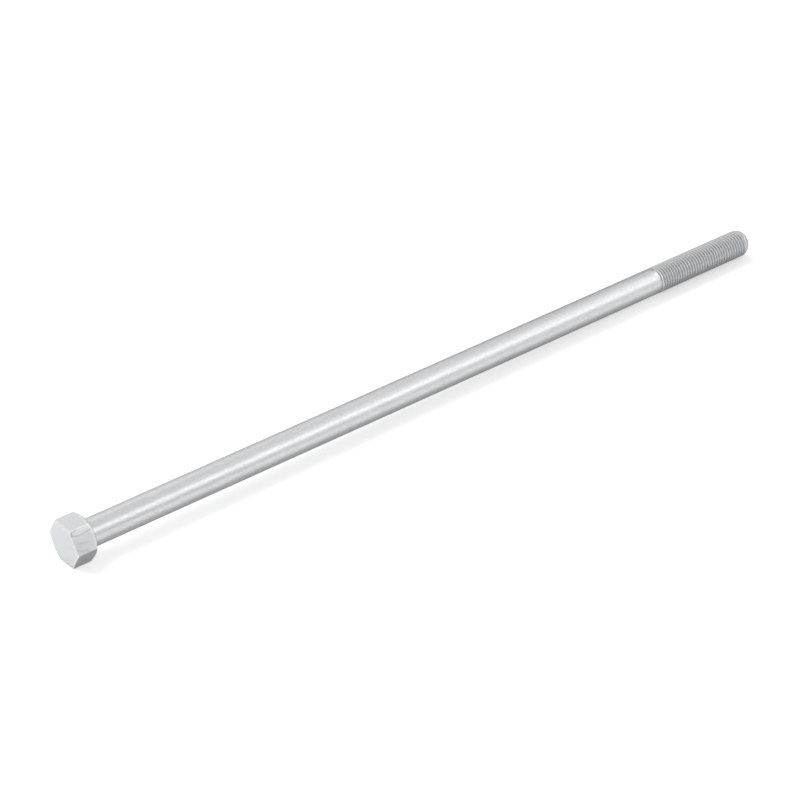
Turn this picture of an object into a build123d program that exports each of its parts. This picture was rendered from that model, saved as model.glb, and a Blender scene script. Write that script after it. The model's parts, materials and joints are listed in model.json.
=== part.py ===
from build123d import *
import os
from math import asin, atan2, cos, degrees, hypot, radians, sin, tan

# A long hexagon-head handlebar bolt, made in one piece. Lengths are in millimetres, angles in degrees.
# It is drawn along X, from the free face of the head (x = 0) to the tip, then laid down at rest.

# Head: a hexagon for a 12 mm spanner, chamfered lightly on the free side and deeply on the shank side.
head_af = 11.9  # across flats
head_height = 6.75  # free face to bearing face
corner_r = 0.3  # rounding along the six corner edges
crown_margin = 0.25  # edge of the free face to the middle of each flat
crown_angle = 15.0  # slope of the chamfer round the free face
bearing_margin = 0.6  # edge of the bearing face to the middle of each flat
under_angle = 34.0  # slope of the chamfer on the shank side
root_fillet_r = 0.4  # fillet between bearing face and shank

# Shank and thread: M8 x 1, right hand.
bolt_length = 235.0  # bearing face to tip
shank_d = 7.9
thread_d = 8.0  # major diameter; the thread is held as a plain cylinder of this size
thread_length = 36.7  # start of the neck to tip

# Neck between shank and thread: the shank eases down to a narrow groove where the thread starts.
ease_length = 1.2
ease_drop = 0.12  # on the radius
groove_depth = 0.35  # below the thread's major diameter, on the radius
groove_floor = 0.1  # flat width at the bottom of the groove
flank_angle = 30.0  # each side of the groove, as on the thread

# Tip: rounded off to a small flat.
tip_length = 3.0
tip_flat_d = 4.0

# Sizes that follow from those above.
flat_r = head_af / 2
shank_r = shank_d / 2
thread_r = thread_d / 2
groove_r = thread_r - groove_depth
bolt_end = head_height + bolt_length
neck_start = bolt_end - thread_length
tip_start = bolt_end - tip_length
tip_drop = thread_r - tip_flat_d / 2
tip_round_r = (tip_length**2 + tip_drop**2) / (2 * tip_drop)  # arc that leaves the thread tangentially


def rise(length, angle):
    """Height gained over a length at a slope."""
    return length * tan(radians(angle))


def turned(profile):
    """Solid turned about the axis; its seam runs along the underside, in the plane of symmetry."""
    return revolve(Rot(-90, 0, 0) * make_face(profile), Axis.X)

def hexagon_bar():
    """Hexagonal bar with rounded corner edges, one flat up and one down."""
    outline = RegularPolygon(flat_r, 6, major_radius=False)
    outline = fillet(outline.vertices(), corner_r)
    return extrude(Plane.YZ * outline, head_height)


def chamfer_envelope():
    """Turned form that the bar is trimmed to: both chamfers are cones about the axis."""
    reach = head_af  # past the corners of the hexagon
    crown_r = flat_r - crown_margin
    bearing_r = flat_r - bearing_margin
    side = Polyline(
        (0, 0),
        (0, crown_r),
        (rise(reach - crown_r, crown_angle), reach),
        (head_height, reach),
        (head_height, 0),
        close=True,
    )
    under = Polyline(
        (head_height, bearing_r),
        (head_height - rise(reach - bearing_r, under_angle), reach),
        (head_height, reach),
        close=True,
    )
    return turned(side) - turned(under)


def head():
    """Hexagon head, trimmed by its two chamfers."""
    return hexagon_bar() & chamfer_envelope()


def turned_shank():
    """Fillet, shank, eased shoulder, neck groove, thread at its major diameter and rounded tip."""
    inside = head_height / 2  # buried in the head
    fillet_top = shank_r + root_fillet_r
    ease_r = shank_r - ease_drop
    floor_start = neck_start + rise(ease_r - groove_r, flank_angle)
    floor_end = floor_start + groove_floor
    thread_start = floor_end + rise(thread_r - groove_r, flank_angle)
    inner = Polyline((inside, 0), (inside, fillet_top), (head_height, fillet_top))
    root = CenterArc((head_height + root_fillet_r, fillet_top), root_fillet_r, 180, 90)
    outer = Polyline(
        root @ 1,
        (neck_start - ease_length, shank_r),
        (neck_start, ease_r),
        (floor_start, groove_r),
        (floor_end, groove_r),
        (thread_start, thread_r),
        (tip_start, thread_r),
    )
    tip = TangentArc(outer @ 1, (bolt_end, tip_flat_d / 2), tangent=(1, 0))
    close = Polyline(tip @ 1, (bolt_end, 0), (inside, 0))
    return turned(inner + root + outer + tip + close)


def lay_down(bolt):
    """Rest the bolt on its lower flat and its tip: origin below the middle, on the surface."""
    foot = head_height - rise(bearing_margin, under_angle)  # shank-side end of the lower flat
    run = tip_start - foot
    climb = flat_r - (thread_r - tip_round_r)
    tilt = atan2(climb, run) - asin(tip_round_r / hypot(climb, run))
    lift = foot * sin(tilt) + flat_r * cos(tilt)
    laid = Pos(0, 0, lift) * Rot(0, degrees(tilt), 0) * bolt
    return Pos(-laid.bounding_box().center().X, 0, 0) * laid


handlebar_bolt = lay_down(head() + turned_shank())

os.makedirs("parts", exist_ok=True)
export_step(handlebar_bolt, "parts/handlebar_bolt.step")
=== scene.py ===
import json

import bpy
import numpy as np
from bpy.props import FloatProperty, FloatVectorProperty, PointerProperty
from mathutils import Euler, Matrix, Vector


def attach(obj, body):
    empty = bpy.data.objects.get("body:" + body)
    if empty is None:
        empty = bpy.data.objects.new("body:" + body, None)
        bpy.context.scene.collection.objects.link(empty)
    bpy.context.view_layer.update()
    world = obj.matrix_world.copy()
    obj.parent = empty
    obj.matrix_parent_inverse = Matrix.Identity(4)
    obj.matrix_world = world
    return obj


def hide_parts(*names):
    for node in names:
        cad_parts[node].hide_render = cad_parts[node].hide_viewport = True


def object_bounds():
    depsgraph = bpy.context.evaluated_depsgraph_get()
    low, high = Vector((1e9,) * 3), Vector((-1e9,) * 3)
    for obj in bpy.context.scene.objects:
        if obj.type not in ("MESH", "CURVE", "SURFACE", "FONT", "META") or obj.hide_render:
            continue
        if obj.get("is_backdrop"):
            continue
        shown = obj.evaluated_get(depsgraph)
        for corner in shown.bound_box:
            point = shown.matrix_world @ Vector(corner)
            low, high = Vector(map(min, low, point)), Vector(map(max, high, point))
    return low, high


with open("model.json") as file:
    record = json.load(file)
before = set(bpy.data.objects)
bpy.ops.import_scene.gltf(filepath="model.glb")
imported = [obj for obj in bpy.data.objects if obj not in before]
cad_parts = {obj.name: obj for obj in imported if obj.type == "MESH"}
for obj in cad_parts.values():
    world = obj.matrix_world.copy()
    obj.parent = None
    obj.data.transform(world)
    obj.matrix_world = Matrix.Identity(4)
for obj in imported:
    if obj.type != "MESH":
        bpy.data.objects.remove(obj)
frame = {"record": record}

bl_info = {
    "name": "Handlebar bolt",
    "version": (1, 0, 0),
    "blender": (4, 5, 0),
    "location": "3D View > Sidebar > Bolt",
    "description": "Dresses a long hexagon-head bolt: worn head, cut thread, zinc plating and studio",
    "category": "Add Mesh",
}

# The whole object's box as packed, kept from straight after the load.
cad_box = [list(corner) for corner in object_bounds()]

NODE = "handlebar_bolt"
MM = 0.001
BOX_SLACK = 0.00002  # metres that the skin may stand out of the solid's box before the script stops


def mount(name):
    """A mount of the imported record, by name."""
    return next(m for m in frame["record"]["mounts"] if m["name"] == name)


def bolt_place():
    """Matrix from the bolt's own axes to the frame: origin on the bearing face, X to the tip, Z up."""
    along = Vector(mount("thread")["axis"]).normalized()
    side = Vector((0, 1, 0))
    start = Vector(mount("thread")["pos_m"])
    start -= along * (start - Vector(mount("bearing_face")["pos_m"])).dot(along)
    turn = Matrix((along, side, along.cross(side))).transposed()
    return Matrix.Translation(start) @ turn.to_4x4()


# ---------------------------------------------------------------- sizes and colours


def length(name, text, default):
    """A size in metres that the sidebar shows as a distance."""
    return FloatProperty(name=name, description=text, default=default, unit="LENGTH", precision=6)


def angle(name, text, default):
    """An angle given in degrees and kept in radians."""
    return FloatProperty(name=name, description=text, default=np.radians(default), subtype="ANGLE")


def share(name, text, default):
    """A plain number from 0 to 1."""
    return FloatProperty(name=name, description=text, default=default, subtype="FACTOR", min=0, max=1)


def tint(name, text, default):
    """A linear colour."""
    return FloatVectorProperty(name=name, description=text, default=default, subtype="COLOR", min=0, max=1)


def number(name, text, default):
    """A plain number."""
    return FloatProperty(name=name, description=text, default=default)


def spot(name, text, default):
    """A place in metres."""
    return FloatVectorProperty(
        name=name, description=text, default=default, subtype="TRANSLATION", unit="LENGTH"
    )


class BoltSizes(bpy.types.PropertyGroup):
    """Sizes of the bolt, the same as those of its solid."""

    across_flats: length("Across flats", "Width of the hexagon", 0.0119)
    head_height: length("Head height", "Free face to bearing face", 0.00675)
    corner_r: length("Corner radius", "Rounding along the six corner edges", 0.0003)
    crown_margin: length("Crown margin", "Edge of the free face to the middle of each flat", 0.00025)
    crown_angle: angle("Crown angle", "Slope of the chamfer round the free face", 15)
    bearing_margin: length("Bearing margin", "Edge of the bearing face to the middle of each flat", 0.0006)
    under_angle: angle("Under angle", "Slope of the chamfer on the shank side", 34)
    root_fillet_r: length("Root fillet", "Fillet between bearing face and shank", 0.0004)
    bolt_length: length("Length", "Bearing face to tip", 0.235)
    shank_d: length("Shank diameter", "Plain part of the shank", 0.0079)
    thread_d: length("Thread diameter", "Over the crests", 0.008)
    pitch: length("Pitch", "Crest to crest", 0.001)
    thread_length: length("Thread length", "Start of the neck to the tip", 0.0367)
    ease_length: length("Ease length", "Where the shank eases down to the neck", 0.0012)
    ease_drop: length("Ease drop", "How far the shank eases down, on the radius", 0.00012)
    groove_depth: length("Groove depth", "Bottom of the neck below the thread's crests", 0.00035)
    groove_floor: length("Groove floor", "Flat at the bottom of the neck", 0.0001)
    tip_length: length("Tip length", "Rounding at the tip, along the axis", 0.003)
    tip_flat_d: length("Tip flat", "Diameter of the flat at the tip", 0.004)


class BoltWear(bpy.types.PropertyGroup):
    """Softened edges, the marks of use, and a rim of painted highlight on the flats."""

    edge_softness: length("Edge softness", "Set-back of the rounding on each turned edge", 0.00012)
    facet_depth: share("Bruised corner", "How much of the corner's bruise is pressed in", 1.0)
    crease_depth: length("Crease depth", "Depth of the creases beside the bruised corner", 0.000012)
    rear_softness: length("Rear softness", "Set-back where the flats meet the rear chamfer", 0.00026)
    # Rim of painted highlight on the flats next to the rear chamfer.
    highlight_rim_width: length("Rubbed rim", "Width of the bright rim on the flats, on the shank side", 0.0009)
    land: length("Thread land", "Plain length between the neck and the first turn", 0.00035)
    thread_fade: length("Thread fade", "Length over which the last turn runs out", 0.0008)


class PlatingFinish(bpy.types.PropertyGroup):
    """Satin zinc plating, with the colours of its painted shade and painted highlight."""

    bright: tint("Bright plating", "Plating where it is cleanest", (0.805, 0.815, 0.82))
    clouded: tint("Clouded plating", "Plating where it is a little dull", (0.670, 0.682, 0.692))
    # Painted shade toward the thread's root, in the neck groove and at the tip.
    root: tint("Thread root", "Plating at the bottom of the thread", (0.56, 0.57, 0.58))
    # Painted shade in the creases, the neck groove, at the tip and on the shank against the head, and dirt in
    # the smudges.
    grime_and_shade: tint("Grime", "Dull film in creases and against the head", (0.40, 0.40, 0.40))
    # Painted highlight, with some real wear, on edges, corners, the flats' rim and the thread's crests.
    wear_and_highlight: tint("Rubbed edge", "Bare bright metal on rubbed edges", (0.84, 0.85, 0.85))
    roughness: share("Roughness", "Roughness of clean plating", 0.29)
    rough_spread: share("Roughness spread", "How much the roughness varies", 0.06)
    grain_height: length("Grain height", "Depth of the drawn lines", 0.000003)
    edge_tint: share("Edge tint", "Brightness of the metal where it is seen edge on", 0.75)


class StudioSettings(bpy.types.PropertyGroup):
    """Camera, light and floor."""

    azimuth: angle("Azimuth", "Turn of the camera, from square on to the bolt's right side", -38.643)
    elevation: angle("Elevation", "Camera above the horizon", 33.415)
    roll: angle("Roll", "Tilt of the camera about its own line of sight", -0.839)
    lens: number("Lens", "Focal length in millimetres", 130.133)
    stand: spot("Camera place", "From the middle of the floor under the bolt", (-0.42419, -0.51708, 0.43991))
    ambient: number("Ambient", "Strength of the light from all round", 0.52)
    room_base: number("Room base", "Brightness between the panels, as metal shows it", 0.20)
    panel_glow: number("Panel glow", "Factor on the brightness of every soft panel", 1.0)
    key_glow: number("Key glow", "Brightness of the overhead lamp's face", 3.6)
    key_size: length("Key size", "Side of the overhead lamp", 1.4)
    key_place: spot("Key place", "Middle of the overhead lamp, from the same point", (-0.35, 0.9, 0.85))
    floor_tone: share("Floor tone", "How pale the floor is", 0.84)
    floor_glow: number("Floor glow", "White that the floor adds as it is seen", 0.5)
    floor_mirror_glow: number("Floor glow in metal", "White that the floor adds as metal shows it", 0.06)
    floor_size: length("Floor size", "Side of the floor", 12.0)


# ---------------------------------------------------------------- shape, in millimetres on the bolt's axes


# The thread's groove over half a pitch, from the middle of the crest to the root: 60 degree flanks, a flat
# crest and rounded edges, as (share of the pitch, depth in pitches).
GROOVE = ((0, 0), (0.10, 0.005), (0.145, 0.035), (0.19, 0.10), (0.42, 0.498), (0.46, 0.545), (0.5, 0.56))
# Rows of one pitch as shares of it, from one crest to the next; the same list serves each turn.
PHASES = [share_of for share_of, _ in GROOVE] + [1 - share_of for share_of, _ in GROOVE[-2:0:-1]]
CREST_AT = 0.35  # shift of the helix, in turns, that brings a whole crest next to the neck on the right side


class Form:
    """The bolt's sizes in millimetres, with those that follow from them; x runs from the free face."""

    def __init__(self, s, w):
        self.flat_r = s.across_flats / 2 / MM
        self.corner_r = s.corner_r / MM
        self.height = s.head_height / MM
        self.crown_r = self.flat_r - s.crown_margin / MM
        self.bearing_r = self.flat_r - s.bearing_margin / MM
        self.crown_rise = np.tan(s.crown_angle)
        self.under_rise = np.tan(s.under_angle)
        self.fillet_r = s.root_fillet_r / MM
        self.shank_r = s.shank_d / 2 / MM
        self.thread_r = s.thread_d / 2 / MM
        self.pitch = s.pitch / MM
        self.depth = GROOVE[-1][1] * self.pitch
        self.neck_r = self.thread_r - s.groove_depth / MM
        self.end = self.height + s.bolt_length / MM
        self.neck = self.end - s.thread_length / MM
        self.ease = self.neck - s.ease_length / MM
        self.ease_r = self.shank_r - s.ease_drop / MM
        self.floor_a = self.neck + (self.ease_r - self.neck_r) * np.tan(np.pi / 6)
        self.floor_b = self.floor_a + s.groove_floor / MM
        self.thread_a = self.floor_b + (self.thread_r - self.neck_r) * np.tan(np.pi / 6)
        self.tip = self.end - s.tip_length / MM
        self.tip_flat_r = s.tip_flat_d / 2 / MM
        drop = self.thread_r - self.tip_flat_r
        self.tip_r = ((self.end - self.tip) ** 2 + drop**2) / (2 * drop)
        self.soft = w.edge_softness / MM
        self.rear_soft = w.rear_softness / MM
        self.bruise = w.facet_depth
        self.crease = w.crease_depth / MM
        self.rim = w.highlight_rim_width / MM
        self.land = w.land / MM
        self.fade = w.thread_fade / MM

    def turned(self, x):
        """Radius of the neck, the thread's outside and the rounded tip at x."""
        known = [self.floor_a, self.floor_b, self.thread_a, self.tip]
        radii = [self.neck_r, self.neck_r, self.thread_r, self.thread_r]
        past = np.clip(x - self.tip, 0, self.end - self.tip)
        arc = self.thread_r - self.tip_r + np.sqrt(self.tip_r**2 - past**2)
        return np.minimum(np.interp(x, known, radii), arc)


# Directions round the bolt are in degrees from the top, toward +Y; the bruised corner is at 330.
BRUISED_FLAT = 300.0
BRUISED_SPAN = (280.0, 333.0)  # directions that get close columns
BRUISED_STEP = 1.0
# Columns of one flat, from its middle; they draw together at the rounded corners.
FLAT_COLUMNS = (-30, -29.55, -28.7, -27, -23.5, -18, -12, -6, 0, 6, 12, 18, 23.5, 27, 28.7, 29.55)


def column_angles():
    """Directions of the mesh's columns: close at the hexagon's corners, closest at the bruised one."""
    lo, hi = BRUISED_SPAN
    found = [(60 * k + o) % 360 for k in range(6) for o in FLAT_COLUMNS]
    found = [a for a in found if not lo < a < hi]
    return np.array(sorted(found + list(np.arange(lo + BRUISED_STEP, hi - 0.1, BRUISED_STEP))))


def hexagon_radius(angles, form):
    """Distance from the axis to the rounded hexagon in each direction."""
    off = np.radians((angles + 30) % 60 - 30)
    psi = np.pi / 6 - np.abs(off)
    centre = (form.flat_r - form.corner_r) / np.cos(np.pi / 6)
    reach = np.sqrt(np.maximum(form.corner_r**2 - (centre * np.sin(psi)) ** 2, 0))
    last_flat = np.arctan(centre / 2 / form.flat_r)
    return np.where(np.abs(off) < last_flat, form.flat_r / np.cos(off), centre * np.cos(psi) + reach)


# Rows of a rounded corner: the share of the way round it, and how much of an edge it is, which sets the
# painted highlight along that edge.
ROUNDING = ((0, 0.2), (0.25, 0.8), (0.5, 1.0), (0.75, 0.8), (1, 0.2))
MOST_SET_BACK = 0.45  # share of a run that one rounding may take


def softened_path(corners, softness, steps):
    """Rows along straight runs between corners, each inner corner rounded off.

    corners are (x, r) arrays, one value a column; softness is the set-back at each inner corner;
    steps are the rows inside each run. Gives rows of x, r and edge share."""
    rows = []
    pts = [np.array(c, float) for c in corners]
    enter, leave = {}, {}
    for k in range(1, len(pts) - 1):
        for other, kept in ((k - 1, enter), (k + 1, leave)):
            run = pts[other] - pts[k]
            size = np.maximum(np.hypot(*run), 1e-9)
            kept[k] = pts[k] + run * np.minimum(softness[k - 1] / size, MOST_SET_BACK)
    for k in range(len(pts)):
        if k in enter:
            for t, edge in ROUNDING:
                p = (1 - t) ** 2 * enter[k] + 2 * t * (1 - t) * pts[k] + t * t * leave[k]
                rows.append((p[0], p[1], edge))
        else:
            rows.append((pts[k][0], pts[k][1], 0.0))
        if k < len(pts) - 1:
            a, b = leave.get(k, pts[k]), enter.get(k + 1, pts[k + 1])
            for f in np.linspace(0, 1, steps[k] + 2)[1:-1]:
                p = a + (b - a) * f
                rows.append((p[0], p[1], 0.0))
    return rows


CENTRE_R = 0.2  # radius of the first ring round the middle of the free face


def head_rows(angles, form):
    """Head from the middle of the free face to the fillet's start."""
    rho = hexagon_radius(angles, form)
    zero = np.zeros_like(rho)
    corners = [
        (zero, zero + CENTRE_R),
        (zero, zero + form.crown_r),
        ((rho - form.crown_r) * form.crown_rise, rho),
        (form.height - (rho - form.bearing_r) * form.under_rise, rho),
        (zero + form.height, zero + form.bearing_r),
        (zero + form.height, zero + form.shank_r + form.fillet_r),
    ]
    softness = (form.soft, form.soft, form.rear_soft, form.soft)
    return softened_path(corners, softness, (5, 1, 16, 2, 1))


# Directions that the bruise reaches, in degrees from the middle of the bruised flat, and those it marks.
BRUISE_REACH = 50.0
MARKED_REACH = 40.0


def below_corner(angles, form):
    """Distance down the bruised corner's lower flat, from the corner's sharp edge, in each direction."""
    half_side = form.flat_r * np.tan(np.pi / 6)
    off = np.clip(angles - BRUISED_FLAT, -BRUISE_REACH, BRUISE_REACH)
    return half_side - form.flat_r * np.tan(np.radians(off))


# Facet that the spanner left on the bruised corner, as (x, reach): down the lower flat, and along the top.
FACET_DOWN = ((0, 1.35), (0.3, 1.45), (1.2, 1.85), (2.3, 2.1), (4.0, 1.95), (5.1, 1.75), (6.8, 1.5))
FACET_ALONG = ((0, 0.05), (0.8, 0.10), (2.0, 0.14), (4.0, 0.16), (6.8, 0.14))
FACET_ROUNDING = 0.03  # softness where the facet meets the flats
FACET_BLEND = 1.0  # difference in radius beyond which that softness is nil
FACET_FACING = 0.5  # least cosine between a direction and the facet's own
# Marks on the head, each a run of points (x, distance below the bruised corner), half width and strength; the
# creases are pressed in and darkened with painted shade, the smudges are dirt.
CREASES = (
    (((0.25, 0.62), (0.45, 0.50), (1.12, 0.41), (1.85, 0.33)), 0.16, 1.0),
    (((0.20, 1.40), (1.15, 1.76), (2.25, 2.00), (3.94, 1.84), (5.12, 1.62), (5.70, 1.50)), 0.17, 0.8),
    (((0.26, 0.70), (0.22, 1.35)), 0.14, 0.6),
)
SMUDGES = (
    (((1.20, 3.80), (2.60, 4.10), (3.90, 4.40)), 0.30, 0.40),
    (((0.60, 4.60), (1.50, 4.75)), 0.25, 0.20),
    (((0.50, 5.50), (1.80, 6.05), (3.20, 6.50)), 0.40, 0.40),
)


FAR = 99.0  # a distance beyond everything on the bolt


def stroke(x, s, points, half_width):
    """How near each place is to a run of points, from 1 on the run to 0 well away."""
    near = np.full(np.broadcast(x, s).shape, FAR)
    for (ax, ay), (bx, by) in zip(points[:-1], points[1:]):
        dx, dy = bx - ax, by - ay
        along = np.clip(((x - ax) * dx + (s - ay) * dy) / (dx * dx + dy * dy), 0, 1)
        near = np.minimum(near, np.hypot(x - ax - along * dx, s - ay - along * dy))
    return np.exp(-((near / half_width) ** 2))


def press_facet(angles, x, r, form):
    """Radius with the spanner's facet pressed into the bruised corner."""
    corner_y, corner_z = -form.flat_r * np.tan(np.pi / 6), form.flat_r
    down = np.interp(x, *zip(*FACET_DOWN)) * form.bruise
    along = np.interp(x, *zip(*FACET_ALONG)) * form.bruise
    ly, lz = corner_y - down * 0.5, corner_z - down * np.cos(np.pi / 6)
    hy, hz = corner_y + along, corner_z
    run = np.hypot(hy - ly, hz - lz)
    ny, nz = -(hz - lz) / run, (hy - ly) / run
    theta = np.radians(angles)[None, :]
    facing = ny * np.sin(theta) + nz * np.cos(theta)
    facet = np.where(facing > FACET_FACING, (ny * ly + nz * lz) / np.maximum(facing, FACET_FACING), FAR)
    apart = np.abs(r - facet)
    cut = np.minimum(r, facet) - FACET_ROUNDING * np.log1p(np.exp(-apart / FACET_ROUNDING))
    return np.where(apart > FACET_BLEND, np.minimum(r, facet), cut)


def bruise_head(angles, x, r, form):
    """Presses the slipped spanner's facet and creases into one corner; gives r and the strength of the
    darkening: painted shade in the creases, dirt in the smudges.
    """
    cut = press_facet(angles, x, r, form)
    s = below_corner(angles, form)[None, :]
    on_flat = np.where(np.abs(angles - BRUISED_FLAT) < MARKED_REACH, 1.0, 0.0)[None, :]
    lines = sum(strength * stroke(x, s, points, width) for points, width, strength in CREASES) * on_flat
    films = sum(strength * stroke(x, s, points, width) for points, width, strength in SMUDGES) * on_flat
    return cut - form.crease * lines, np.clip(np.maximum(lines, films), 0, 1)


# Rows of the shank and the neck, as steps along the bolt and, in the pairs, on the radius.
NEAR_HEAD = (0.3, 0.7, 1.2)
SHANK_ROWS = 40
EASE = ((0.4, 0.025), (0.9, 0.085))
NECK_EDGE = ((-0.03, 0.002), (0.03, 0.05))
NECK_FLOOR = ((-0.03, 0.055), (0.02, 0.004))


def plain_rows(n, form):
    """Fillet, shank, eased shoulder and the near half of the neck groove, as turned rows of x and r."""
    turn = np.radians(np.linspace(180, 270, 7))[1:]
    top = form.shank_r + form.fillet_r
    found = [(form.height + form.fillet_r * (1 + np.cos(t)), top + form.fillet_r * np.sin(t)) for t in turn]
    first = found[-1][0]
    found += [(first + step, form.shank_r) for step in NEAR_HEAD]
    begin = first + NEAR_HEAD[-1]
    found += [(begin + (form.ease - begin) * f, form.shank_r) for f in np.linspace(0, 1, SHANK_ROWS + 1)[1:]]
    found += [(form.ease + ahead, form.shank_r - drop) for ahead, drop in EASE]
    found += [(form.neck + ahead, form.ease_r - drop) for ahead, drop in NECK_EDGE]
    found += [(form.floor_a + ahead, form.neck_r + rise) for ahead, rise in NECK_FLOOR]
    return [(np.full(n, x), np.full(n, r)) for x, r in found]


TIP_EDGE = ((0.10, 0.045), (0.02, -0.03), (0, -0.12))  # softened edge of the tip's flat


def tip_rows(n, start, form):
    """Rounded tip from where the thread ends to the flat, as turned rows of x and r."""
    a, b = np.arcsin((start - form.tip) / form.tip_r), np.arcsin((form.end - form.tip) / form.tip_r)
    found = []
    for t in np.linspace(a, b, 9)[:-1]:
        found.append((form.tip + form.tip_r * np.sin(t), form.thread_r - form.tip_r * (1 - np.cos(t))))
    found += [(form.end - back, form.tip_flat_r + rise) for back, rise in TIP_EDGE]
    found += [(form.end, form.tip_flat_r / 2)]
    return [(np.full(n, x), np.full(n, r)) for x, r in found]


def groove_depth(phase, form):
    """Depth below the crest at a share of the pitch."""
    return np.interp(min(phase, 1 - phase), *zip(*GROOVE)) * form.pitch


MARKS = ("wear_and_highlight", "recess", "grime_and_shade")
# Strengths of the marks, from 0 to 1.
NECK_SHADE = 0.7  # painted shade at the bottom of the neck groove
# Darker over the rounded tip.
TIP_DARKENING = 0.7
HEAD_SHADE = 0.5  # painted shade on the shank where it meets the head, fading over the length below
HEAD_SHADE_LENGTH = 1.1
# Painted highlight on the flats next to the rear chamfer.
RIM_HIGHLIGHT = 0.7
# Painted highlight on the thread's crests.
CREST_HIGHLIGHT = 0.25
CREST_DEPTH = 0.05  # how far below its highest line a crest still gets the painted highlight
THREAD_RECESS = 0.35  # painted shade on the crests; it rises to 1 at the root


class Skin:
    """Collects vertices and faces of one closed mesh laid out in rows round the bolt's axis."""

    def __init__(self, angles):
        self.angles = angles
        self.n = len(angles)
        self.x, self.r, self.column = [], [], []
        self.marks = []  # for each vertex: painted highlight with wear, painted shade in hollows, and painted shade with dirt
        self.faces = []
        self.last = None

    def add(self, x, r, column, marks):
        """Adds vertices and gives their numbers."""
        first = len(self.x)
        self.x += list(x)
        self.r += list(r)
        self.column += list(column)
        self.marks += [tuple(m) for m in marks]
        return np.arange(first, len(self.x))

    def ring(self, x, r, wear_and_highlight=0.0, recess=0.0, grime_and_shade=0.0):
        """A row square to the axis, joined to the row before it."""
        every = np.zeros(self.n)
        ids = self.add(x, r, range(self.n), np.column_stack((every + wear_and_highlight, every + recess, every + grime_and_shade)))
        self.join(np.append(ids, ids[0]))
        return ids

    def pole(self, x):
        """A point on the axis, joined as a fan."""
        ids = self.add([x], [0.0], [0], [(0, 0, 0)])
        self.join(np.full(self.n + 1, ids[0]))

    def join(self, row):
        """Faces between the last row and this one; faces that shrink to a line are left out."""
        if self.last is not None:
            for a, d, c, b in zip(self.last[:-1], row[:-1], row[1:], self.last[1:]):
                corners = list(dict.fromkeys((int(a), int(d), int(c), int(b))))
                if len(corners) > 2:
                    self.faces.append(corners)
        self.last = row


RUN_IN = 0.4  # length over which the groove of the first turn gets its full depth
RUN_OUT_GAP = 0.1  # plain length left between the last turn and the row that ends the thread
SNAP = 0.02  # rows this near to the first or the last row join it


def groove_strength(x, stop, form):
    """How fully the groove is cut along the bolt: none at both ends of the thread, 1 between."""
    out = np.clip((stop - RUN_OUT_GAP - x) / (form.fade - RUN_OUT_GAP), 0, 1)
    fade = np.minimum(out, np.clip((x - form.thread_a - form.land) / RUN_IN, 0, 1))
    return fade * fade * (3 - 2 * fade)


def cut_thread(skin, form):
    """Right-hand helical rows from the neck groove to the tip, held between two square rows."""
    n, start = skin.n, (form.floor_a + form.floor_b) / 2
    stop = form.tip + form.fade
    turn = skin.angles / 360
    zero = np.zeros(n)
    first = skin.ring(zero + start, zero + form.neck_r, recess=1.0, grime_and_shade=NECK_SHADE)
    stop_r = float(form.turned(np.array(stop)))
    last = skin.add(zero + stop, zero + stop_r, range(n), np.zeros((n, 3)))
    count = len(PHASES) * (int(np.ceil((stop - start) / form.pitch)) + 3)
    heads = []
    for i in range(count):
        whole, m = divmod(i, len(PHASES))
        phase = PHASES[m]
        x = start + form.pitch * (whole + phase - turn + CREST_AT - 1)
        fade = groove_strength(x, stop, form)
        depth = groove_depth(phase, form) * fade
        r = np.minimum(form.turned(x), form.thread_r - depth)
        low, high = x < start + SNAP, x > stop - SNAP
        own = ~(low | high)
        below = (form.thread_r - r) / form.depth
        # Painted shade, darker toward the root of each groove.
        recess = np.clip(THREAD_RECESS * fade + (1 - THREAD_RECESS) * below, 0, 1)
        # Painted highlight on the crests.
        wear_and_highlight = np.clip(1 - depth / CREST_DEPTH, 0, 1) * fade * CREST_HIGHLIGHT
        # Painted shade from the neck groove runs up the first flank.
        grime_and_shade = NECK_SHADE * np.clip((form.thread_a - x) / (form.thread_a - form.floor_b), 0, 1)
        marks = np.column_stack((wear_and_highlight, recess, grime_and_shade))[own]
        ids = np.where(low, first, last)
        ids[own] = skin.add(x[own], r[own], np.arange(n)[own], marks)
        heads.append(ids[0])
        wrap = heads[i - len(PHASES)] if i >= len(PHASES) else first[0]
        skin.join(np.append(ids, wrap))
    skin.join(np.append(last, last[0]))
    return stop


CORNER_HIGHLIGHT = (0.6, 1.8)  # degrees from a corner within which its painted highlight is full, and where that has faded out
SIDE_END = 0.3  # the rows of the flats end this far short of the bearing face
RIM_FADE = 0.25  # length over which the rim of painted highlight fades in
RIM_OVER = 0.05  # how far the rim goes past the flat's rear edge


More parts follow.
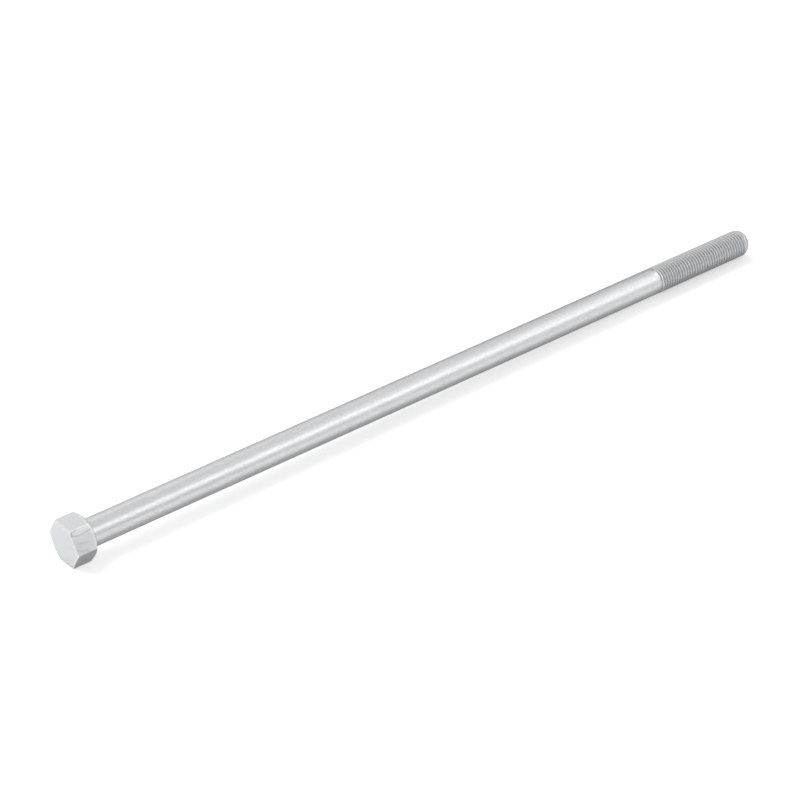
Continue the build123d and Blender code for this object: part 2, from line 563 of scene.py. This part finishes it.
def bolt_skin(form):
    """The whole bolt as one closed skin: head, shank, neck, thread and tip."""
    angles = column_angles()
    skin = Skin(angles)
    skin.pole(0.0)
    # Painted highlight along the six corner edges of the flats.
    corner = 30 - np.abs((angles + 30) % 60 - 30)
    on_corner = np.interp(corner, CORNER_HIGHLIGHT, (1, 0))
    rows = head_rows(angles, form)
    x, r = np.array([row[0] for row in rows]), np.array([row[1] for row in rows])
    side = np.array([0 < row[0].min() < form.height - SIDE_END for row in rows])
    rear = form.height - (hexagon_radius(angles, form) - form.bearing_r) * form.under_rise
    rim = np.clip((x - rear + form.rim) / RIM_FADE, 0, 1) * (x < rear + RIM_OVER) * side[:, None]
    r, grime_and_shade = bruise_head(angles, x, r, form)
    for k, (_, _, edge) in enumerate(rows):
        # Painted highlight along the rounded edges, the corners and the flats' rim, with some wear; kept off
        # the darkened marks.
        wear_and_highlight = np.clip(edge + on_corner * side[k] + RIM_HIGHLIGHT * rim[k], 0, 1) * (1 - grime_and_shade[k])
        skin.ring(x[k], r[k], wear_and_highlight=wear_and_highlight, grime_and_shade=grime_and_shade[k])
    for row_x, row_r in plain_rows(skin.n, form):
        # Painted shade in the eased neck groove and on the shank against the head.
        recess = np.clip((form.ease_r - row_r) / (form.ease_r - form.neck_r), 0, 1)
        shade_by_head = HEAD_SHADE * np.clip(1 - (row_x - form.height) / HEAD_SHADE_LENGTH, 0, 1)
        skin.ring(row_x, row_r, recess=recess, grime_and_shade=np.maximum(shade_by_head, NECK_SHADE * recess))
    stop = cut_thread(skin, form)
    # The rounded tip is painted darker and takes the thread root's colour.
    for row_x, row_r in tip_rows(skin.n, stop, form)[1:]:
        skin.ring(row_x, row_r, recess=1.0, grime_and_shade=TIP_DARKENING)
    skin.pole(form.end)
    return skin


def smooth_normals(points, faces):
    """Vertex normals weighted by the area of the faces round each vertex, so that flats stay flat."""
    normals = np.zeros_like(points)
    for f in faces:
        p = points[f]
        across = np.cross(p[2] - p[0], p[3] - p[1]) if len(f) == 4 else np.cross(p[1] - p[0], p[2] - p[0])
        normals[f] += across
    return normals / np.maximum(np.linalg.norm(normals, axis=1), 1e-12)[:, None]


INSIDE = 0.99997  # share of the radius that keeps the skin a hair inside the solid


def skin_mesh(skin, name, place):
    """Mesh of the skin in the frame, with its marks as attributes and its own normals."""
    theta = np.radians(skin.angles)[np.array(skin.column)]
    x, r = np.array(skin.x), np.array(skin.r) * INSIDE
    local = np.column_stack((x, r * np.sin(theta), r * np.cos(theta))) * MM
    turn, shift = np.array(place.to_3x3()), np.array(place.translation)
    points = local @ turn.T + shift
    mesh = bpy.data.meshes.new(name)
    mesh.from_pydata(points.tolist(), [], skin.faces)
    marks = np.array(skin.marks, dtype=np.float32)
    for k, kind in enumerate(MARKS):
        layer = mesh.attributes.new(kind, "FLOAT", "POINT")
        layer.data.foreach_set("value", np.ascontiguousarray(marks[:, k]))
    mesh.polygons.foreach_set("use_smooth", np.ones(len(mesh.polygons), dtype=bool))
    mesh.normals_split_custom_set_from_vertices(smooth_normals(points, skin.faces).tolist())
    if mesh.validate():
        raise RuntimeError("the bolt's mesh held stray faces")
    return mesh


# ---------------------------------------------------------------- finishes


def node(tree, kind, place, **values):
    """A node at a place, with its settings; inputs is a dict of values by the socket's name or number."""
    made = tree.nodes.new(kind)
    made.location = place
    for key, value in values.items():
        if key == "inputs":
            for socket, setting in value.items():
                made.inputs[socket].default_value = setting
        else:
            setattr(made, key, value)
    return made


def own_millimetres(tree, place):
    """The bolt's own axes in millimetres, from its object coordinates."""
    source = node(tree, "ShaderNodeTexCoord", (-1700, 0))
    turned = node(tree, "ShaderNodeMapping", (-1500, 0), vector_type="TEXTURE")
    turned.inputs["Location"].default_value = place.translation
    turned.inputs["Rotation"].default_value = place.to_euler()
    turned.inputs["Scale"].default_value = (MM, MM, MM)
    tree.links.new(source.outputs["Object"], turned.inputs["Vector"])
    return turned.outputs["Vector"]


def mottle_group():
    """Node group that both finishes use: noise with stretched coordinates, spread from 0 to 1."""
    group = bpy.data.node_groups.new("mottle", "ShaderNodeTree")
    face = group.interface
    face.new_socket("Vector", in_out="INPUT", socket_type="NodeSocketVector")
    face.new_socket("Stretch", in_out="INPUT", socket_type="NodeSocketVector")
    for name, value in (("Scale", 1.0), ("Detail", 2.0), ("Roughness", 0.5), ("Low", 0.35), ("High", 0.65)):
        face.new_socket(name, in_out="INPUT", socket_type="NodeSocketFloat").default_value = value
    face.new_socket("Value", in_out="OUTPUT", socket_type="NodeSocketFloat")
    given = node(group, "NodeGroupInput", (-700, 0))
    shaped = node(group, "ShaderNodeVectorMath", (-500, 100), operation="MULTIPLY")
    noise = node(group, "ShaderNodeTexNoise", (-300, 100))
    ranged = node(group, "ShaderNodeMapRange", (-80, 0))
    out = node(group, "NodeGroupOutput", (150, 0))
    group.links.new(given.outputs["Vector"], shaped.inputs[0])
    group.links.new(given.outputs["Stretch"], shaped.inputs[1])
    group.links.new(shaped.outputs["Vector"], noise.inputs["Vector"])
    for name in ("Scale", "Detail", "Roughness"):
        group.links.new(given.outputs[name], noise.inputs[name])
    group.links.new(noise.outputs["Fac"], ranged.inputs["Value"])
    group.links.new(given.outputs["Low"], ranged.inputs["From Min"])
    group.links.new(given.outputs["High"], ranged.inputs["From Max"])
    group.links.new(ranged.outputs["Result"], out.inputs["Value"])
    return group


def mottle(tree, vector, place, stretch, scale, detail=2.0, rough=0.5, low=0.35, high=0.65):
    """The mottle group in a material, with its own values; gives its 0 to 1 output."""
    made = node(tree, "ShaderNodeGroup", place)
    made.node_tree = bpy.data.node_groups.get("mottle") or mottle_group()
    names = ("Stretch", "Scale", "Detail", "Roughness", "Low", "High")
    for name, value in zip(names, (stretch, scale, detail, rough, low, high)):
        made.inputs[name].default_value = value
    tree.links.new(vector, made.inputs["Vector"])
    return made.outputs["Value"]


def spread(tree, value, place, low, high, out_low=0.0, out_high=1.0, smooth=False):
    """Maps a range of a value to another range, held at its ends."""
    ranged = node(tree, "ShaderNodeMapRange", place)
    ranged.interpolation_type = "SMOOTHSTEP" if smooth else "LINEAR"
    for socket, end in zip(("From Min", "From Max", "To Min", "To Max"), (low, high, out_low, out_high)):
        ranged.inputs[socket].default_value = end
    tree.links.new(value, ranged.inputs["Value"])
    return ranged.outputs["Result"]


def math(tree, kind, place, a, b):
    """A sum or product of two sockets or numbers."""
    made = node(tree, "ShaderNodeMath", place, operation=kind)
    for socket, value in zip(made.inputs, (a, b)):
        if isinstance(value, (int, float)):
            socket.default_value = value
        else:
            tree.links.new(value, socket)
    return made.outputs[0]


def blend_tint(tree, place, share_of, first, second, kind="MIX"):
    """Mixes two colours by a share; each is a socket or a linear colour."""
    made = node(tree, "ShaderNodeMix", place, data_type="RGBA", blend_type=kind)
    tree.links.new(share_of, made.inputs[0])
    for socket, value in ((made.inputs[6], first), (made.inputs[7], second)):
        if isinstance(value, bpy.types.NodeSocket):
            tree.links.new(value, socket)
        else:
            socket.default_value = (*value, 1)
    return made.outputs[2]


# Noises of the plating: stretch on the bolt's axes, scale, detail, roughness and the range that is spread.
CLOUDS = ((0.35, 1, 1), 0.55, 4.0, 0.55, 0.36, 0.64)
DRAWN = ((0.06, 1, 1), 3.2, 3.0, 0.6, 0.36, 0.64)
FLECKS = ((0.5, 1, 1), 2.2, 2.0, 0.6, 0.33, 0.67)
SPECKS = ((1, 1, 1), 5.0)
WEIGHTS = (0.18, 0.17, 0.65)  # of clouds, drawn lines and flecks in the mottling
LEAST_LEFT = 0.6  # least share that specks leave of a painted edge highlight, and flecks of the painted shade and dirt
FLECK_HEIGHT = 0.4  # height of the flecks beside that of the drawn lines
HEAD_MOTTLE = 0.4  # share of the shank's mottling that shows on the head
RECESS_ROUGHER = 0.12  # roughness that a recess adds


def zinc_plating(finish, place, head):
    """Satin zinc plating with clouds, drawn lines and flecks, painted highlights with some wear on edges and
    crests, painted shade in hollows, creases and against the head, and smudges of dirt; head is its height in
    mm.
    """
    material = bpy.data.materials.new("satin_zinc_plating")
    material.use_nodes = True
    tree = material.node_tree
    tree.nodes.clear()
    own = own_millimetres(tree, place)
    clouds = mottle(tree, own, (-1200, 500), *CLOUDS)
    drawn = mottle(tree, own, (-1200, 200), *DRAWN)
    flecks = mottle(tree, own, (-1200, -100), *FLECKS)
    specks = mottle(tree, own, (-1200, -400), *SPECKS)
    marks = {}
    for k, kind in enumerate(MARKS):
        mark = node(tree, "ShaderNodeAttribute", (-1200, -700 - 200 * k), attribute_name=kind)
        marks[kind] = mark.outputs["Fac"]
    parts = [math(tree, "MULTIPLY", (-960, 500 - 150 * k), value, weight)
             for k, (value, weight) in enumerate(zip((clouds, drawn, flecks), WEIGHTS))]
    cloudy = math(tree, "ADD", (-800, 350), math(tree, "ADD", (-880, 400), parts[0], parts[1]), parts[2])
    split = node(tree, "ShaderNodeSeparateXYZ", (-1200, 750))
    tree.links.new(own, split.inputs["Vector"])
    strength = spread(tree, split.outputs["X"], (-960, 750), head, head + 1, HEAD_MOTTLE, 1)
    apart = math(tree, "MULTIPLY", (-700, 600), math(tree, "SUBTRACT", (-760, 500), cloudy, 0.5), strength)
    cloudy = math(tree, "ADD", (-640, 350), apart, 0.5)
    colour = blend_tint(tree, (-460, 350), cloudy, finish.bright, finish.clouded)
    # Painted shade toward the thread's root, in the neck groove and at the tip.
    colour = blend_tint(tree, (-300, 350), marks["recess"], colour, finish.root)
    # Painted highlight with some wear, broken up by specks.
    broken = spread(tree, specks, (-820, -500), 0, 1, LEAST_LEFT, 1)
    wear_and_highlight_share = math(tree, "MULTIPLY", (-640, -600), marks["wear_and_highlight"], broken)
    colour = blend_tint(tree, (-140, 350), wear_and_highlight_share, colour, finish.wear_and_highlight)
    # Painted shade in creases, hollows, at the tip and against the head, with dirt in the smudges; flecks
    # break it up.
    uneven = spread(tree, flecks, (-820, -850), 0, 1, LEAST_LEFT, 1)
    shade_and_dirt = math(tree, "MULTIPLY", (-640, -900), marks["grime_and_shade"], uneven)
    colour = blend_tint(tree, (20, 350), shade_and_dirt, colour, finish.grime_and_shade)
    rough = spread(tree, cloudy, (-640, 0), 0, 1, finish.roughness, finish.roughness + finish.rough_spread)
    rougher = math(tree, "MULTIPLY", (-460, -100), marks["recess"], RECESS_ROUGHER)
    rough = math(tree, "ADD", (-300, 0), rough, rougher)
    bump = node(tree, "ShaderNodeBump", (-140, -300))
    bump.inputs["Strength"].default_value = 1.0
    bump.inputs["Distance"].default_value = finish.grain_height
    fleck_height = math(tree, "MULTIPLY", (-640, -320), flecks, FLECK_HEIGHT)
    height = math(tree, "ADD", (-460, -320), drawn, fleck_height)
    tree.links.new(height, bump.inputs["Height"])
    shader = node(tree, "ShaderNodeBsdfPrincipled", (260, 200))
    shader.inputs["Metallic"].default_value = 1.0
    shader.inputs["Specular Tint"].default_value = (finish.edge_tint,) * 3 + (1,)
    tree.links.new(colour, shader.inputs["Base Color"])
    tree.links.new(rough, shader.inputs["Roughness"])
    tree.links.new(bump.outputs["Normal"], shader.inputs["Normal"])
    out = node(tree, "ShaderNodeOutputMaterial", (560, 200))
    tree.links.new(shader.outputs["BSDF"], out.inputs["Surface"])
    return material


def seen_rays(tree, place):
    """Two shares: rays from the camera or through something clear, and rays off a glossy surface."""
    path = node(tree, "ShaderNodeLightPath", place)
    camera, clear = path.outputs["Is Camera Ray"], path.outputs["Is Transmission Ray"]
    seen = math(tree, "MAXIMUM", (place[0] + 180, place[1]), camera, clear)
    return seen, path.outputs["Is Glossy Ray"]


def pale_floor_finish(studio):
    """Matt pale floor that keeps a shadow and shows as white where it is fully lit."""
    material = bpy.data.materials.new("pale_floor")
    material.use_nodes = True
    tree = material.node_tree
    tree.nodes.clear()
    place = node(tree, "ShaderNodeTexCoord", (-900, 0))
    grain = mottle(tree, place.outputs["Object"], (-700, 0), (1, 1, 1), 40.0, 3.0)
    tone, vary = studio.floor_tone, 0.006
    colour = blend_tint(tree, (-200, 0), grain, (tone - vary,) * 3, (tone + vary,) * 3)
    shader = node(tree, "ShaderNodeBsdfPrincipled", (0, 0))
    shader.inputs["Roughness"].default_value = 0.9
    shader.inputs["Specular IOR Level"].default_value = 0.1
    tree.links.new(colour, shader.inputs["Base Color"])
    shader.inputs["Emission Color"].default_value = (1, 1, 1, 1)
    seen, mirrored = seen_rays(tree, (-800, -300))
    glow = math(tree, "ADD", (-200, -300), math(tree, "MULTIPLY", (-400, -250), seen, studio.floor_glow),
                math(tree, "MULTIPLY", (-400, -400), mirrored, studio.floor_mirror_glow))
    tree.links.new(glow, shader.inputs["Emission Strength"])
    out = node(tree, "ShaderNodeOutputMaterial", (300, 0))
    tree.links.new(shader.outputs["BSDF"], out.inputs["Surface"])
    return material


# ---------------------------------------------------------------- studio


def under_bolt():
    """Middle of the floor under the bolt, at the height of its lowest point."""
    lo, hi = (Vector(corner) for corner in cad_box)
    return Vector(((lo.x + hi.x) / 2, (lo.y + hi.y) / 2, lo.z))


def lay_floor(studio):
    """A large plain floor just under the bolt, in squares."""
    side, steps = studio.floor_size, 24
    grid = np.linspace(-side / 2, side / 2, steps + 1)
    middle = under_bolt()
    verts = [(middle.x + x, middle.y + y, middle.z) for y in grid for x in grid]
    row = steps + 1
    faces = [(i + j * row, i + 1 + j * row, i + 1 + (j + 1) * row, i + (j + 1) * row)
             for j in range(steps) for i in range(steps)]
    mesh = bpy.data.meshes.new("pale_floor")
    mesh.from_pydata(verts, [], faces)
    mesh.materials.append(pale_floor_finish(studio))
    floor = bpy.data.objects.new("pale_floor", mesh)
    bpy.context.scene.collection.objects.link(floor)
    floor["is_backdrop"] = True


def set_camera(studio):
    """Camera that shows the head at the lower left and the tip at the upper right."""
    data = bpy.data.cameras.new("camera")
    data.lens = studio.lens
    data.sensor_width = 36.0
    data.clip_start, data.clip_end = 0.01, 50.0
    camera = bpy.data.objects.new("camera", data)
    camera.location = under_bolt() + Vector(studio.stand)
    tilt = Euler((np.pi / 2 - studio.elevation, 0, studio.azimuth), "XYZ").to_matrix()
    camera.rotation_euler = (tilt @ Matrix.Rotation(studio.roll, 3, "Z")).to_euler()
    bpy.context.scene.collection.objects.link(camera)
    bpy.context.scene.camera = camera


def hang_key(studio):
    """A wide lamp above and behind the bolt that throws its shadow forward; metal doesn't mirror it."""
    data = bpy.data.lights.new("key", "AREA")
    data.size = studio.key_size
    data.energy = studio.key_glow * np.pi * data.size**2
    lamp = bpy.data.objects.new("key", data)
    lamp.location = under_bolt() + Vector(studio.key_place)
    lamp.rotation_euler = (-Vector(studio.key_place)).to_track_quat("-Z", "Y").to_euler()
    lamp.visible_glossy = False
    bpy.context.scene.collection.objects.link(lamp)


# Soft panels of the room, as metal shows them: azimuth and elevation of the middle, radius that is fully
# bright and width of the soft edge, all in degrees, then the brightness that the panel adds.
PANELS = (
    (-55.8, 38.5, 7.4, 8.9, 0.75),  # softbox beside the camera
    (6.9, 49.3, 8.8, 54.4, 0.633),  # wide panel overhead, toward the tip
    (109.8, 27, 41.4, 20.2, 0.646),  # pale wall behind the head
    (-18.8, 6.4, 44.2, 5.5, 0.641),  # pale wall beyond the tip
    (-74.1, 28.5, 14.9, 3.4, 0.38),  # low panel beside the head
    (-142, 14, 42, 28, 0.42),  # pale wall to the left of the camera
)


def panel(tree, direction, place, values, factor):
    """Brightness that one soft panel adds in each direction."""
    azimuth, elevation, inner, edge = np.radians(values[:4])
    middle = (np.cos(elevation) * np.cos(azimuth), np.cos(elevation) * np.sin(azimuth), np.sin(elevation))
    along = node(tree, "ShaderNodeVectorMath", place, operation="DOT_PRODUCT", inputs={1: middle})
    tree.links.new(direction, along.inputs[0])
    off = node(tree, "ShaderNodeMath", (place[0] + 180, place[1]), operation="ARCCOSINE")
    tree.links.new(along.outputs["Value"], off.inputs[0])
    bright, aside = values[4] * factor, (place[0] + 360, place[1])
    return spread(tree, off.outputs[0], aside, inner, inner + edge, bright, 0, smooth=True)


def light_room(studio):
    """Even light from all round, soft panels in the metal, and white where the room itself is seen."""
    world = bpy.data.worlds.new("studio_room")
    world.use_nodes = True
    tree = world.node_tree
    tree.nodes.clear()
    source = node(tree, "ShaderNodeTexCoord", (-1700, 300))
    room = studio.room_base
    for k, values in enumerate(PANELS):
        glow = panel(tree, source.outputs["Generated"], (-1500, 600 - 200 * k), values, studio.panel_glow)
        room = math(tree, "ADD", (-900, 600 - 200 * k), room, glow)
    seen, mirrored = seen_rays(tree, (-1100, -300))
    extra = math(tree, "SUBTRACT", (-720, 300), room, studio.ambient)
    strength = math(tree, "MULTIPLY", (-560, 200), mirrored, extra)
    strength = math(tree, "ADD", (-400, 150), strength, studio.ambient)
    strength = math(tree, "MAXIMUM", (-240, 100), strength, seen)
    back = node(tree, "ShaderNodeBackground", (0, 0))
    back.inputs["Color"].default_value = (1, 1, 1, 1)
    tree.links.new(strength, back.inputs["Strength"])
    out = node(tree, "ShaderNodeOutputWorld", (220, 0))
    tree.links.new(back.outputs["Background"], out.inputs["Surface"])
    bpy.context.scene.world = world


# ---------------------------------------------------------------- operators and panel


class BOLT_OT_studio(bpy.types.Operator):
    """Lay the floor, set the camera and light the room"""

    bl_idname = "bolt.studio"
    bl_label = "Studio"

    def execute(self, context):
        studio = context.scene.bolt_studio
        lay_floor(studio)
        set_camera(studio)
        hang_key(studio)
        light_room(studio)
        context.scene.view_settings.view_transform = "Standard"
        return {"FINISHED"}


class BOLT_OT_plated_bolt(bpy.types.Operator):
    """Build the bolt in one closed skin and plate it"""

    bl_idname = "bolt.plated_bolt"
    bl_label = "Plated bolt"

    def execute(self, context):
        scene = context.scene
        form = Form(scene.bolt_sizes, scene.bolt_wear)
        place = bolt_place() @ Matrix.Translation((-scene.bolt_sizes.head_height, 0, 0))
        mesh = skin_mesh(bolt_skin(form), "plated_bolt", place)
        mesh.materials.append(zinc_plating(scene.plating_finish, place, form.height))
        piece = bpy.data.objects.new("plated_bolt", mesh)
        scene.collection.objects.link(piece)
        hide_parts(NODE)
        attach(piece, "root")
        self.check_box()
        return {"FINISHED"}

    def check_box(self):
        """Stops the script if the bolt stands out of the box of its solid."""
        lo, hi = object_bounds()
        low, high = cad_box
        if any(lo[k] < low[k] - BOX_SLACK or hi[k] > high[k] + BOX_SLACK for k in range(3)):
            raise RuntimeError(f"the bolt stands out of its solid's box: {lo} {hi}")


class BOLT_PT_sidebar(bpy.types.Panel):
    """Sizes, finish and studio of the handlebar bolt"""

    bl_label = "Handlebar bolt"
    bl_idname = "BOLT_PT_sidebar"
    bl_space_type = "VIEW_3D"
    bl_region_type = "UI"
    bl_category = "Bolt"

    def draw(self, context):
        column = self.layout.column()
        for operator in (BOLT_OT_studio, BOLT_OT_plated_bolt):
            column.operator(operator.bl_idname)
        for name in GROUPS:
            group = getattr(context.scene, name)
            for key in group.__annotations__:
                column.prop(group, key)


GROUPS = {
    "bolt_sizes": BoltSizes,
    "bolt_wear": BoltWear,
    "plating_finish": PlatingFinish,
    "bolt_studio": StudioSettings,
}
CLASSES = (*GROUPS.values(), BOLT_OT_studio, BOLT_OT_plated_bolt, BOLT_PT_sidebar)


def register():
    for cls in CLASSES:
        bpy.utils.register_class(cls)
    for name, group in GROUPS.items():
        setattr(bpy.types.Scene, name, PointerProperty(type=group))


def unregister():
    for name in GROUPS:
        delattr(bpy.types.Scene, name)
    for cls in reversed(CLASSES):
        bpy.utils.unregister_class(cls)


def main():
    register()
    bpy.ops.bolt.studio()
    bpy.ops.bolt.plated_bolt()


if __name__ == "__main__":
    main()
